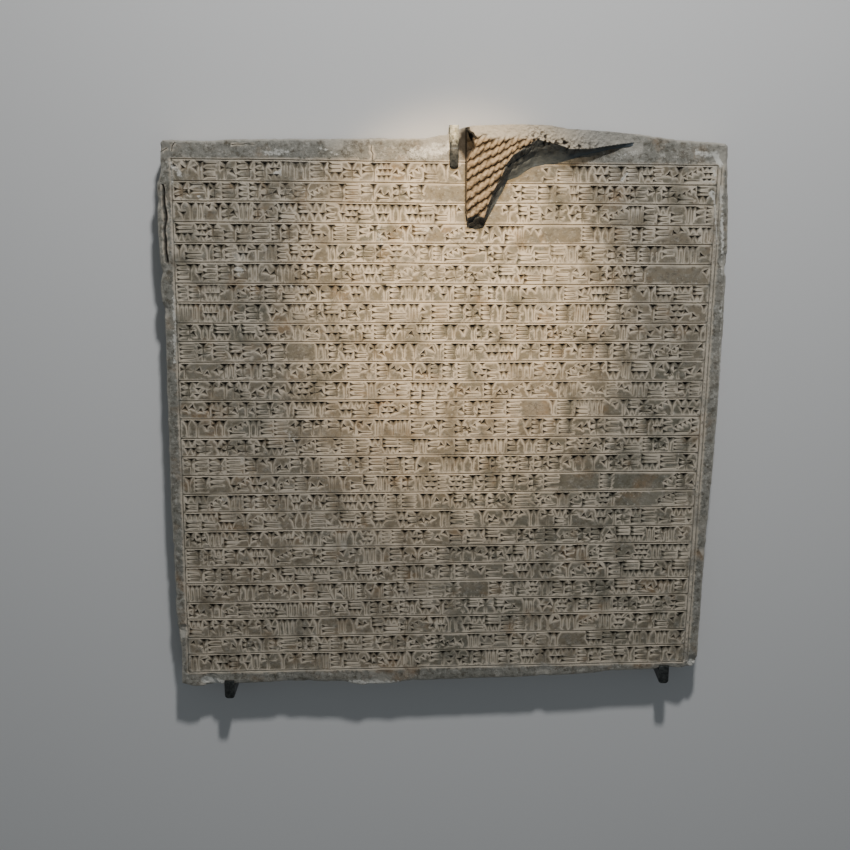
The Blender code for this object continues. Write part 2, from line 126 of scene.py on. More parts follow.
# Scuffs that show pale stone: two ends on the face, half width, strength
SCUFFS = ((-0.392, 0.624, -0.344, 0.627, 0.0070, 0.55), (-0.275, 0.637, -0.231, 0.620, 0.0035, 0.60),
          (-0.060, 0.624, 0.014, 0.637, 0.0150, 0.60), (-0.534, 0.609, -0.536, 0.572, 0.0025, 0.70),
          (-0.372, 0.581, -0.358, 0.582, 0.0030, 1.00), (-0.545, 0.537, -0.543, 0.529, 0.0035, 1.00),
          (-0.590, 0.596, -0.582, 0.574, 0.0055, 0.65), (-0.601, 0.606, -0.601, 0.550, 0.0028, 0.60),
          (-0.609, 0.308, -0.614, 0.155, 0.0040, 0.65), (-0.142, 0.465, -0.138, 0.427, 0.0070, 0.55),
          (-0.052, 0.460, -0.023, 0.458, 0.0070, 0.55), (0.559, 0.626, 0.608, 0.618, 0.0070, 0.60),
          (0.600, 0.624, 0.616, 0.598, 0.0045, 1.00), (0.618, 0.555, 0.633, 0.384, 0.0028, 0.90),
          (0.631, 0.378, 0.645, 0.018, 0.0022, 0.55), (0.599, 0.587, 0.606, 0.574, 0.0045, 1.00),
          (0.580, 0.563, 0.609, 0.563, 0.0025, 0.85), (0.597, 0.537, 0.602, 0.526, 0.0040, 0.95),
          (0.398, 0.566, 0.409, 0.581, 0.0040, 0.80), (0.603, 0.553, 0.617, 0.425, 0.0022, 0.70),
          (0.383, 0.618, 0.435, 0.626, 0.0050, 0.45), (-0.463, 0.372, -0.455, 0.361, 0.0085, 0.70),
          (-0.580, -0.640, -0.538, -0.650, 0.0100, 0.85), (0.610, -0.592, 0.628, -0.608, 0.0080, 0.80),
          (-0.223, -0.645, -0.105, -0.648, 0.0060, 0.70), (-0.340, 0.330, -0.310, 0.322, 0.0080, 0.45),
          (-0.365, -0.010, -0.340, -0.030, 0.0090, 0.45), (-0.520, -0.180, -0.495, -0.165, 0.0080, 0.45),
          (-0.235, -0.100, -0.215, -0.085, 0.0080, 0.45), (0.110, 0.300, 0.145, 0.290, 0.0080, 0.40))


def blend(low, high, share):
    """Value between two others."""
    return low + (high - low) * share


def smooth(share):
    """Ease from 0 to 1."""
    share = min(max(share, 0.0), 1.0)
    return share * share * (3 - 2 * share)


def waver(x, y, scale, seed):
    """Smooth chance value between about -1 and 1."""
    return noise.noise(Vector((x * scale, y * scale, seed)))


def side_waver(point, z, scale):
    """The same at a height on an upright side."""
    return noise.noise(Vector((point.x * scale, point.y * scale, z * scale)))


def stretch_distance(point, start, end):
    """Shortest distance from a point to a straight stretch."""
    run = end - start
    share = min(max((point - start).dot(run) / run.length_squared, 0), 1)
    return (point - start - run * share).length


def loop_inward(points):
    """Unit vectors that point into a closed loop, one for each point."""
    count = len(points)
    inward = []
    for i in range(count):
        run = points[(i + 2) % count] - points[i - 2]
        inward.append(Vector((-run.y, run.x)).normalized())
    return inward


def loop_edges(count):
    """Edges that close a loop of points."""
    return [(i, (i + 1) % count) for i in range(count)]


def even_steps(corners, step):
    """A closed loop with points put in so that they stand about a step apart."""
    even = []
    for start, end in zip(corners, corners[1:] + corners[:1]):
        steps = max(round((end - start).length / step), 1)
        even += [start.lerp(end, i / steps) for i in range(steps)]
    return even


def slab_outline():
    """The slab's outline, counter-clockwise, in even steps, with fine chips along it."""
    ring = {}
    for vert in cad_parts["slab"].data.vertices:
        if abs(vert.co.z - BACK_Z - BACK_ARRIS) < 0.0002:
            ring[round(math.atan2(vert.co.y, vert.co.x), 5)] = vert.co.xy.copy()
    even = even_steps([ring[angle] for angle in sorted(ring)], EDGE_STEP)
    chipped = []
    for point, inward in zip(even, loop_inward(even)):
        bite = 0.0012 * waver(point.x, point.y, 70, 3.0)
        bite += 0.014 * max(waver(point.x, point.y, 26, 8.0) - 0.42, 0)
        chipped.append(point + inward * bite)
    return chipped


def crack_lines():
    """Each crack as a chain of points with its half width and depth."""
    lines = []
    for i, (x_a, y_a, x_b, y_b, half, depth, wander) in enumerate(CRACKS):
        start, end = Vector((x_a, y_a)), Vector((x_b, y_b))
        across = Vector((y_a - y_b, x_b - x_a)).normalized()
        steps = max(int((end - start).length / CRACK_STEP), 2)
        chain = []
        for j in range(steps + 1):
            share = j / steps
            chain.append(start.lerp(end, share) + across * wander * noise.noise(Vector((share * 5, i, 0.5))))
        lines.append((chain, half, depth))
    return lines


outline = slab_outline()
outline_inward = loop_inward(outline)
cracks = crack_lines()


def spall_depth(x, y):
    """How much stone has flaked off at a place on the face."""
    depth = 0.0
    for cx, cy, radius, deep in SPALLS:
        if abs(x - cx) < radius * 1.4 and abs(y - cy) < radius * 1.4:
            far = math.hypot(x - cx, y - cy) / radius + 0.35 * waver(x, y, 60, cx * 9)
            depth = max(depth, deep * smooth((1 - far) / 0.7) * (1 + 0.4 * waver(x, y, 190, 2.0)))
    return depth


def swell(point):
    """How much wider or narrower than its mean a crack is at a place."""
    return 1 + 0.55 * waver(point.x, point.y, 75, 5.5)


def scuffed(x, y):
    """How far the skin is scuffed off at a place, from 0 to 1."""
    most = 0.0
    for x_a, y_a, x_b, y_b, half, strength in SCUFFS:
        near_x = min(x_a, x_b) - 2 * half < x < max(x_a, x_b) + 2 * half
        if near_x and min(y_a, y_b) - 2 * half < y < max(y_a, y_b) + 2 * half:
            far = stretch_distance(Vector((x, y)), Vector((x_a, y_a)), Vector((x_b, y_b))) / half
            most = max(most, strength * smooth((1.5 - far + 0.5 * waver(x, y, 90, 1.0)) / 0.9))
    return most


def erosion(x, y):
    """Weathering of the face: 0 where it is crisp, 1 where it is worn smooth."""
    return smooth((waver(x, y, 6.0, 11.0) + 0.6 * waver(x, y, 17, 4.0) - 0.12) / 0.55)


def swayed(x, y):
    """Height of the rubbed face, which sways a little."""
    return FACE_Z + 0.0012 * waver(x, y, 3.5, 0.0) + 0.0005 * waver(x, y, 13, 1.0)


def ground_height(x, y):
    """Height of the rubbed and weathered face before anything is cut in it."""
    out = outside_field(x, y)
    rough = 0.00030 * waver(x, y, 55, 5.0) * (1 + erosion(x, y) + 2 * out)
    pitted = 0.0040 * max(waver(x, y, 85, 7.0) - 0.46, 0) * (0.4 + erosion(x, y) + out)
    return swayed(x, y) + rough - pitted - spall_depth(x, y)


# Ruled lines: scribed with a chisel along a straightedge before the strokes were cut, 28 across the face
# for 27 rows, one down the left and two down the right. They waver a little and are shallow V grooves.
ROW_COUNT = 27
HEAD_MARGIN_LEFT = 0.041
HEAD_MARGIN_RIGHT = 0.046
FOOT_MARGIN_LEFT = 0.036
FOOT_MARGIN_RIGHT = 0.016
LEFT_MARGIN_HEAD = 0.035
LEFT_MARGIN_FOOT = 0.020
RIGHT_MARGIN_HEAD = 0.030
RIGHT_MARGIN_FOOT = 0.032
RIGHT_DOUBLE_GAP = 0.009
RULE_HALF = 0.0022
RULE_DEPTH = 0.0024
RULE_WAVER = 0.0022
RULE_HAND = 0.0016
RULE_STEP = 0.009


def field_x(side, y):
    """Left (-1) or right (1) border line of the ruled field."""
    share = (y - foot_left.y) / (head_left.y - foot_left.y)
    if side < 0:
        return blend(foot_left.x + LEFT_MARGIN_FOOT, head_left.x + LEFT_MARGIN_HEAD, share)
    return blend(foot_right.x - RIGHT_MARGIN_FOOT, head_right.x - RIGHT_MARGIN_HEAD, share)


def rule_y(row, x):
    """Height on the slab of the ruled line above a row."""
    share = row / ROW_COUNT
    left_y = blend(head_left.y - HEAD_MARGIN_LEFT, foot_left.y + FOOT_MARGIN_LEFT, share)
    right_y = blend(head_right.y - HEAD_MARGIN_RIGHT, foot_right.y + FOOT_MARGIN_RIGHT, share)
    left_y += RULE_HAND * math.sin(row * 2.9 + 0.7)
    right_y += RULE_HAND * math.sin(row * 2.3 + 4.1)
    left_x, right_x = field_x(-1, left_y), field_x(1, right_y)
    along = (x - left_x) / (right_x - left_x)
    sway = noise.noise(Vector((along * 3.0, row * 1.7, 5.0))) * math.sin(math.pi * min(max(along, 0), 1))
    hand = 0.0006 * noise.noise(Vector((along * 26, row * 3.1, 2.0)))
    return blend(left_y, right_y, along) + RULE_WAVER * sway + hand


def ruled_chains():
    """Every ruled line as a chain of points."""
    chains = []
    for row in range(ROW_COUNT + 1):
        left_x = field_x(-1, rule_y(row, foot_left.x))
        right_x = field_x(1, rule_y(row, foot_right.x))
        steps = int((right_x - left_x) / RULE_STEP)
        xs = [blend(left_x, right_x, i / steps) for i in range(steps + 1)]
        chains.append([Vector((x, rule_y(row, x))) for x in xs])
    for side, shift in ((-1, 0), (1, 0), (1, RIGHT_DOUBLE_GAP)):
        top, bottom = rule_y(0, side * 0.6), rule_y(ROW_COUNT, side * 0.6)
        steps = int((top - bottom) / RULE_STEP)
        chain = []
        for i in range(steps + 1):
            y = blend(bottom, top, i / steps)
            chain.append(Vector((field_x(side, y) + shift + 0.0010 * waver(side, y, 9, shift * 90), y)))
        chains.append(chain)
    return chains


# Strokes: shallow wedge cuts that fill each row, made with two or three chisel blows each. A cut has a
# three-sided head and a thin tail. They are chance groups of cuts and stand for no sign or letter.
STROKE_SEED = 27
UPRIGHT_HEAD = 0.0104
LEVEL_HEAD = 0.0066
HOOK_HEAD = 0.0092
TAIL_HALF = 0.0025
TAIL_DEPTH = 0.0023
HEAD_DEPTH_SHARE = 0.78
ROW_PAD_HEAD = 0.0026
ROW_PAD_FOOT = 0.0030
FIELD_PAD = 0.004
LEAST_GROUP = 0.012
RELIEF_CLEAR = 0.004
LEVEL_PITCH = 0.0135
HOOK_PITCH = 0.017
CROWDED_PITCH = 0.0128
STEPPED_PITCH = 0.0100
STEPPED_HEAD = 0.0056
DOWN = -math.pi / 2

# Rows and stretches left bare or worn away: row, left end, right end
BARE = ((1, -0.035, 0.060), (5, 0.460, 0.570), (16, 0.300, 0.368), (16, 0.420, 0.520), (17, 0.440, 0.500),
        (9, -0.345, -0.300), (22, 0.050, 0.090), (25, 0.310, 0.350), (12, 0.200, 0.235), (3, 0.255, 0.290))

# One cut: seven rim points, the deepest point of the head, the neck and the tail's end, and their facets
CUT_RIM = 7
CUT_FACETS = ((0, 7, 1), (0, 6, 8), (0, 8, 7), (1, 7, 8), (1, 8, 2), (6, 5, 9), (6, 9, 8), (2, 8, 9),
              (2, 9, 3), (5, 4, 9), (3, 9, 4))
CUT_EDGES = ((0, 1), (1, 2), (2, 3), (3, 4), (4, 5), (5, 6), (6, 0), (0, 7), (1, 7), (7, 8), (8, 9), (9, 4),
             (0, 8), (1, 8), (2, 8), (6, 8), (3, 9), (5, 9))


def cut(x, y, angle, length, half):
    """Points and depths of one wedge cut that starts at a place and runs off at an angle."""
    run = Vector((math.cos(angle), math.sin(angle)))
    side = Vector((-run.y, run.x))
    start = Vector((x, y))
    neck = min(half * 1.45, length * 0.62)
    tail = TAIL_HALF * min(half / LEVEL_HEAD, 1.15)
    end = length - tail * 1.4
    worn = 1 - 0.45 * erosion(x, y)
    deep = half * HEAD_DEPTH_SHARE * worn
    low = TAIL_DEPTH * worn
    points = (start + side * half, start - side * half,
              start + run * neck - side * tail, start + run * end - side * tail * 0.7,
              start + run * length,
              start + run * end + side * tail * 0.7, start + run * neck + side * tail,
              start + run * neck * 0.33, start + run * neck, start + run * end)
    return points, (0, 0, 0, 0, 0, 0, 0, deep, low * 1.15, low * 0.7)


def level_cuts(rng, x, width, top, height):
    """A stack of level cuts that touch at their heads, most closed by an upright."""
    count = rng.choice((2, 3, 3, 4))
    pitch = min(height / count, LEVEL_PITCH)
    half = min(LEVEL_HEAD, pitch * 0.5)
    first = rng.choice((0, 0, height - pitch * count))
    for i in range(count):
        y = top - first - pitch * (i + 0.5)
        yield cut(x, y, rng.uniform(-0.05, 0.05), width * rng.uniform(0.85, 1.0), half)
    if rng.random() < 0.65:
        closing_x = x + width * rng.uniform(0.66, 0.92)
        yield cut(closing_x, top, DOWN, height * rng.uniform(0.92, 1.04), UPRIGHT_HEAD)


def upright_cuts(rng, x, width, top, height):
    """Uprights side by side whose heads touch."""
    count = max(1, round(width / rng.choice((0.0115, 0.0160, 0.0200))))
    pitch = width / count
    head = min(UPRIGHT_HEAD, pitch * 0.60)
    for i in range(count):
        lean = DOWN + rng.uniform(-0.04, 0.04)
        yield cut(x + pitch * (i + 0.5), top, lean, height * rng.uniform(0.90, 1.04), head)


def tiered_cuts(rng, x, width, top, height):
    """Short uprights in two or three tiers."""
    tiers = rng.choice((2, 2, 3))
    count = max(1, round(width / rng.choice((0.0130, 0.0170))))
    pitch = width / count
    head = min(UPRIGHT_HEAD * 0.85, pitch * 0.58)
    for tier in range(tiers):
        y = top - tier * height / tiers
        for i in range(count):
            lean = DOWN + rng.uniform(-0.08, 0.08)
            length = height / tiers * rng.uniform(0.86, 1.0)
            yield cut(x + pitch * (i + 0.5 + 0.25 * (tier % 2)), y, lean, length, head)


def hook_cuts(rng, x, width, top, height):
    """Broad slanted cuts with short tails, with an upright beside them at times."""
    count = max(1, round(width / HOOK_PITCH))
    lean = rng.choice((-0.8, -0.8, -2.3, 0.75))
    for i in range(count):
        y = top - height * rng.uniform(0.12, 0.6)
        angle = lean + rng.uniform(-0.15, 0.15)
        length = height * rng.uniform(0.32, 0.46)
        yield cut(x + width * (i + 0.3) / count, y, angle, length, HOOK_HEAD * rng.uniform(0.75, 1.0))
    if rng.random() < 0.5:
        yield cut(x + width * 0.84, top, DOWN, height * rng.uniform(0.92, 1.04), UPRIGHT_HEAD)
    elif rng.random() < 0.5:
        yield cut(x, top - height * rng.uniform(0.72, 0.88), 0, width * 0.9, LEVEL_HEAD)


def crossed_cuts(rng, x, width, top, height):
    """An upright crossed by level and slanted cuts."""
    yield cut(x + width * rng.uniform(0.3, 0.6), top, DOWN, height * 1.02, UPRIGHT_HEAD)
    yield cut(x, top - height * rng.uniform(0.30, 0.42), rng.uniform(-0.1, 0.1), width * 0.98, LEVEL_HEAD)
    if rng.random() < 0.7:
        y = top - height * rng.uniform(0.68, 0.86)
        yield cut(x, y, rng.uniform(-0.05, 0.25), width * 0.95, LEVEL_HEAD)
    if rng.random() < 0.5:
        yield cut(x + width * 0.72, top - height * 0.5, -0.8, height * 0.45, HOOK_HEAD * 0.8)


def crowded_cuts(rng, x, width, top, height):
    """Small uprights over level cuts, or level cuts over small uprights."""
    count = max(2, round(width / CROWDED_PITCH))
    pitch = width / count
    below = rng.random() < 0.4
    low = height * 0.52 if below else 0
    for i in range(count):
        yield cut(x + pitch * (i + 0.5), top - low, DOWN, height * 0.46, min(UPRIGHT_HEAD, pitch * 0.58))
    for share in ((0.12, 0.38) if below else (0.60, 0.86)):
        yield cut(x, top - height * share, rng.uniform(-0.06, 0.06), width * 0.98, LEVEL_HEAD)


def stepped_cuts(rng, x, width, top, height):
    """A slanting run of small hooks over one long level cut."""
    count = max(3, round(width / STEPPED_PITCH))
    for i in range(count):
        share = i / (count - 1)
        y = top - height * (0.50 - 0.38 * share)
        yield cut(x + width * (0.05 + 0.85 * share), y, -0.9, height * 0.28, STEPPED_HEAD)
    yield cut(x, top - height * rng.uniform(0.76, 0.88), 0.0, width, LEVEL_HEAD)


def inside_relief(point):
    """Whether a point on the face is under the belly or the tuft, or so close that no chisel reached it."""
    foot_y = head_y(point.x) - along(RELIEF_FOOT, point.x - TUFT_STRAIGHT_X)
    between = TUFT_STRAIGHT_X - RELIEF_CLEAR < point.x < TUFT_STRAIGHT_X + RELIEF_FOOT[-1][0]
    return between and point.y > foot_y - RELIEF_CLEAR


# Where the belly and the tuft meet the face: run from the tuft's straight side, depth below the head edge
TUFT_STRAIGHT_X = SLAB_MIDDLE.x + 0.057
RELIEF_FOOT = ((0.000, 0.140), (0.011, 0.187), (0.025, 0.192), (0.043, 0.181), (0.070, 0.134), (0.085, 0.107),
               (0.095, 0.083), (0.117, 0.077), (0.147, 0.057), (0.179, 0.050), (0.211, 0.045), (0.255, 0.029),
               (0.313, 0.015), (0.383, 0.004))


def along(points, x):
    """Height of a chain of (x, height) points at x, held level past its ends."""
    if x <= points[0][0]:
        return points[0][1]
    for (x_a, h_a), (x_b, h_b) in zip(points, points[1:]):
        if x <= x_b:
            return blend(h_a, h_b, (x - x_a) / (x_b - x_a))
    return points[-1][1]


def head_y(x):
    """Straight line of the head edge, without the belly's crest."""
    return blend(head_left.y, head_right.y, (x - head_left.x) / (head_right.x - head_left.x))


def all_cuts():
    """Chance groups of cuts along every row, kept clear of the bare stretches and of the relief."""
    rng = random.Random(STROKE_SEED)
    groups = (level_cuts, upright_cuts, tiered_cuts, hook_cuts, crossed_cuts, crowded_cuts, stepped_cuts)
    shares = (0.29, 0.17, 0.10, 0.15, 0.12, 0.12, 0.05)
    cuts = []
    for row in range(ROW_COUNT):
        y_mid = (rule_y(row, 0) + rule_y(row + 1, 0)) / 2
        x = field_x(-1, y_mid) + FIELD_PAD
        end = field_x(1, y_mid) - FIELD_PAD
        while x < end - LEAST_GROUP:
            group = rng.choices(groups, shares)[0]
            widths = (0.015, 0.036) if group in (upright_cuts, tiered_cuts) else (0.022, 0.042)
            width = min(rng.uniform(*widths), end - x)
            top = rule_y(row, x + width / 2) - ROW_PAD_HEAD
            height = top - rule_y(row + 1, x + width / 2) - ROW_PAD_FOOT
            made = list(group(rng, x, width, top, height))
            bare = any(row == r and x + width > a and x < b for r, a, b in BARE)
            for points, depths in made:
                if not bare and not any(inside_relief(p) or p.x > end + FIELD_PAD for p in points):
                    cuts.append((points, depths))
            x += width + rng.uniform(0.0, 0.004)
    return cuts


cuts = all_cuts()


def facet_depth(point, a, b, c, da, db, dc):
    """Depth at a point inside a facet, or None outside it."""
    area = (b.x - a.x) * (c.y - a.y) - (b.y - a.y) * (c.x - a.x)
    if abs(area) < 1e-12:
        return None
    u = ((point.x - a.x) * (c.y - a.y) - (point.y - a.y) * (c.x - a.x)) / area
    v = ((b.x - a.x) * (point.y - a.y) - (b.y - a.y) * (point.x - a.x)) / area
    if u < -0.001 or v < -0.001 or u + v > 1.001:
        return None
    return da + (db - da) * u + (dc - da) * v


class DepthMap:
    """Finds how deep the cuts, the ruled lines and the cracks go at any point of the face."""

    def __init__(self, cell):
        self.cell = cell
        self.facets = {}
        self.grooves = {}

    def cell_at(self, x, y):
        return math.floor(x / self.cell), math.floor(y / self.cell)

    def cells(self, points, margin):
        xs = [p.x for p in points]
        ys = [p.y for p in points]
        low_x, low_y = self.cell_at(min(xs) - margin, min(ys) - margin)
        high_x, high_y = self.cell_at(max(xs) + margin, max(ys) + margin)
        return [(i, j) for i in range(low_x, high_x + 1) for j in range(low_y, high_y + 1)]

    def add_cut(self, points, depths):
        for i, j, k in CUT_FACETS:
            facet = (points[i], points[j], points[k], depths[i], depths[j], depths[k])
            for cell in self.cells(facet[:3], 0.0001):
                self.facets.setdefault(cell, []).append(facet)

    def add_groove(self, chain, half, depth, ragged=False):
        for start, end in zip(chain, chain[1:]):
            wide = half * (swell(start) if ragged else 1)
            for cell in self.cells((start, end), wide):
                self.grooves.setdefault(cell, []).append((start, end, wide, depth))

    def depth(self, point):
        cell = self.cell_at(point.x, point.y)
        deepest = 0.0
        for facet in self.facets.get(cell, ()):
            deepest = max(deepest, facet_depth(point, *facet) or 0.0)
        for start, end, half, depth in self.grooves.get(cell, ()):
            deepest = max(deepest, depth * (1 - stretch_distance(point, start, end) / half))
        return deepest


class FacePlan:
    """Points and fixed edges of the face, seen from above, ready to be filled with triangles."""

    taken_step = GROUND_STEP * 0.45

    def __init__(self):
        self.points = []
        self.edges = []
        self.taken = set()
        self.rings = {}
        self.lips = set()

    def spot(self, point):
        return int(point.x // self.taken_step), int(point.y // self.taken_step)

    def join(self, a, b):
        self.edges.append((a, b))
        start, end = self.points[a], self.points[b]
        steps = max(int((end - start).length / (GROUND_STEP * 0.3)), 1)
        for i in range(steps + 1):
            self.taken.add(self.spot(start.lerp(end, i / steps)))

    def chain(self, points, closed=False):
        first = len(self.points)
        self.points += points
        edges = loop_edges(len(points))
        for i, j in edges if closed else edges[:-1]:
            self.join(first + i, first + j)
        return first

    def groove(self, chain, half, ragged=False):
        for shift in (-half, 0, half):
            lip = []
            for i, point in enumerate(chain):
                run = chain[min(i + 1, len(chain) - 1)] - chain[max(i - 1, 0)]
                width = shift * (swell(point) if ragged else 1)
                lip.append(point + Vector((-run.y, run.x)).normalized() * width)
            first = self.chain(lip)
            if shift:
                self.lips.update(range(first, first + len(lip)))

    def cut(self, points):
        first = len(self.points)
        self.points += points
        self.lips.update(range(first, first + CUT_RIM))
        for i, j in CUT_EDGES:
            self.join(first + i, first + j)


def spans(loop, y):
    """Stretches of a level line that lie inside a closed loop."""
    hits = sorted(blend(a.x, b.x, (y - a.y) / (b.y - a.y))
                  for a, b in zip(loop, loop[1:] + loop[:1]) if (a.y > y) != (b.y > y))
    return zip(hits[::2], hits[1::2])


def face_points(plan):
    """Put the arris rings, the lines, the cracks, the cuts and the open ground on the plan."""
    for inset, share in ARRIS_STEPS:
        ring = [p + n * inset for p, n in zip(outline, outline_inward)]
        first = plan.chain(ring, closed=True)
        for i in range(len(ring)):
            plan.rings[first + i] = (i, share)
    for chain in ruled_chains():
        plan.groove(chain, RULE_HALF)
    for chain, half, depth in cracks:
        plan.groove(chain, half, ragged=True)
    for points, depths in cuts:
        plan.cut(points)
    low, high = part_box("slab")
    rows = int((high.y - low.y) / (GROUND_STEP * TRIANGLE_HEIGHT))
    rng = random.Random(GROUND_SEED)
    inner = [p + n * (ARRIS_STEPS[-1][0] + GROUND_STEP * 0.5) for p, n in zip(outline, outline_inward)]
    for j in range(rows):
        y = low.y + j * GROUND_STEP * TRIANGLE_HEIGHT
        for left, right in spans(inner, y):
            for i in range(int((right - left) / GROUND_STEP) + 1):
                x = left + GROUND_STEP * (i + 0.5 * (j % 2))
                point = Vector((x + rng.uniform(-0.001, 0.001), y + rng.uniform(-0.001, 0.001)))
                if x < right and plan.spot(point) not in plan.taken:
                    plan.points.append(point)


def arris_drop(i):
    """How far the worn arris has dropped at a point of the outline."""
    x, y = outline[i]
    lost = 0.012 * max(waver(x, y, 15, 2.5) - 0.40, 0)
    return ARRIS_DROP * (1 + 0.7 * waver(x, y, 34, 6.0)) + lost


def outside_field(x, y):
    """How far a place lies outside the ruled field, from 0 to 1, where the stone kept its grey-green skin."""
    out_x = max(field_x(-1, y) - x, x - field_x(1, y))
    out_y = max(y - rule_y(0, x), rule_y(ROW_COUNT, x) - y)
    return smooth(0.5 + max(out_x, out_y) / 0.016 + 0.5 * waver(x, y, 30, 4.0))


def corner_stain_and_shade(x, y):
    """Black dirt and painted shade in the corner between the head edge and the tuft's straight side."""
    far = math.hypot((x - TUFT_STRAIGHT_X) / 0.017, (y - head_y(x)) / 0.032)
    return smooth((1.2 - far + 0.35 * waver(x, y, 90, 3.0)) / 0.35)


def wear_layers(bm, *names):
    """Layers that hold, for each point of the stone, how far each kind of wear, dirt, painted shade and
    painted highlight has gone.
    """
    layers = bm.verts.layers.float
    return [layers.get(name) or layers.new(name) for name in names]


def join_rings(bm, lower, upper):
    """Faces between two closed rings of corners."""
    for i in range(len(lower)):
        j = (i + 1) % len(lower)
        bm.faces.new((lower[i], lower[j], upper[j], upper[i]))


def finished(bm, name, sharp):
    """Turn a finished shape into a smooth mesh whose edges stay sharp past an angle."""
    mesh = bpy.data.meshes.new(name)
    bm.to_mesh(mesh)
    bm.free()
    mesh.shade_smooth()
    mesh.set_sharp_from_angle(angle=math.radians(sharp))
    return mesh


def carved_depths():
    """Depths of every stroke, ruled line and crack."""
    depths = DepthMap(DEPTH_CELL)
    for points, deep in cuts:
        depths.add_cut(points, deep)
    for chain in ruled_chains():
        depths.add_groove(chain, RULE_HALF, RULE_DEPTH)
    for chain, half, deep in cracks:
        depths.add_groove(chain, half, deep, ragged=True)
    return depths


def stone_face(bm):
    """The carved face and its worn arris. Gives back the corners of its rim."""
    depths = carved_depths()
    plan = FacePlan()
    face_points(plan)
    places, edges, faces, sources, *rest = delaunay_2d_cdt(plan.points, plan.edges, [], 1, 0.00012)
    carved, worn, greyed, rubbed, scuff = wear_layers(bm, "carved", "worn", "greyed", "rubbed", "scuffed")
    rim = {}
    top = []
    for place, source in zip(places, sources):
        drop = 0.0
        share = 0.0
        for index in source:
            if index in plan.rings:
                i, share = plan.rings[index]
                drop = arris_drop(i) * share
                if share == 1.0:
                    rim[i] = len(top)
        deep = depths.depth(place)
        spalled = spall_depth(place.x, place.y)
        vert = bm.verts.new((place.x, place.y, ground_height(place.x, place.y) - deep - drop))
        # Dark deep in the cuts and in the corner by the tuft: dirt and painted shade
        vert[carved] = max(smooth((deep - 0.0020) / 0.0036), corner_stain_and_shade(place.x, place.y))
        vert[worn] = min(share + spalled / 0.004, 1.0)
        vert[greyed] = outside_field(place.x, place.y)
        vert[scuff] = scuffed(place.x, place.y)
        # The lips of shallow cuts and lines turn pale: rubbed stone and a painted highlight
        if deep < 0.0006 and any(index in plan.lips for index in source):
            vert[rubbed] = smooth(0.75 + 0.9 * waver(place.x, place.y, 22, 9.0))
        top.append(vert)
    for face in faces:
        bm.faces.new([top[i] for i in face])
    return [top[rim[i]] for i in range(len(outline))]


def stone_walls(bm, upper):
    """The battered sides, ring by ring from the face down. Gives back the lowest ring."""
    worn, greyed = wear_layers(bm, "worn", "greyed")
    for level in WALL_LEVELS:
        ring = []
        for i, point in enumerate(outline):
            z = blend(BACK_Z + BACK_ARRIS, FACE_Z - WALL_TOP_BELOW_FACE, level)
            rough = 0.0016 * side_waver(point, z, 38) + 0.0007 * side_waver(point, z, 120)
            place = point + outline_inward[i] * (rough + 0.0006)
            vert = bm.verts.new((place.x, place.y, z))
            vert[worn] = 0.35
            vert[greyed] = 1.0
            ring.append(vert)
        join_rings(bm, ring, upper)
        upper = ring
    return upper


def stone_back(bm, upper):
    """The sawn back, joined to the lowest ring of the sides by a small arris."""
    back = []
    inset = [p + n * BACK_ARRIS for p, n in zip(outline, outline_inward)]
    grid = [Vector((BACK_STEP * i, BACK_STEP * j)) for i in range(-20, 21) for j in range(-21, 20)]
    places, edges, faces, *rest = delaunay_2d_cdt(inset + grid, loop_edges(len(inset)), [], 1, 0.0001)
    for place in places:
        sawn = 0.0006 * max(waver(place.x, place.y * 0.2, 30, 3.0), 0)
        back.append(bm.verts.new((place.x, place.y, BACK_Z + sawn)))
    for face in faces:
        bm.faces.new([back[i] for i in reversed(face)])
    join_rings(bm, back[:len(inset)], upper)


def stone_mesh():
    """The slab as one closed mesh: face, arris, battered sides and sawn back."""
    bm = bmesh.new()
    stone_back(bm, stone_walls(bm, stone_face(bm)))
    bmesh.ops.delete(bm, geom=[v for v in bm.verts if not v.link_faces], context='VERTS')
    bmesh.ops.holes_fill(bm, edges=[e for e in bm.edges if e.is_boundary], sides=0)
    bmesh.ops.recalc_face_normals(bm, faces=bm.faces)
    return finished(bm, "slab_stone", 24)


def shown(name, mesh, material, node):
    """Link a finished piece, give it its material and let it stand for its solid."""
    piece = bpy.data.objects.new(name, mesh)
    bpy.context.scene.collection.objects.link(piece)
    mesh.materials.append(material)
    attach(piece, "root")
    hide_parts(node)


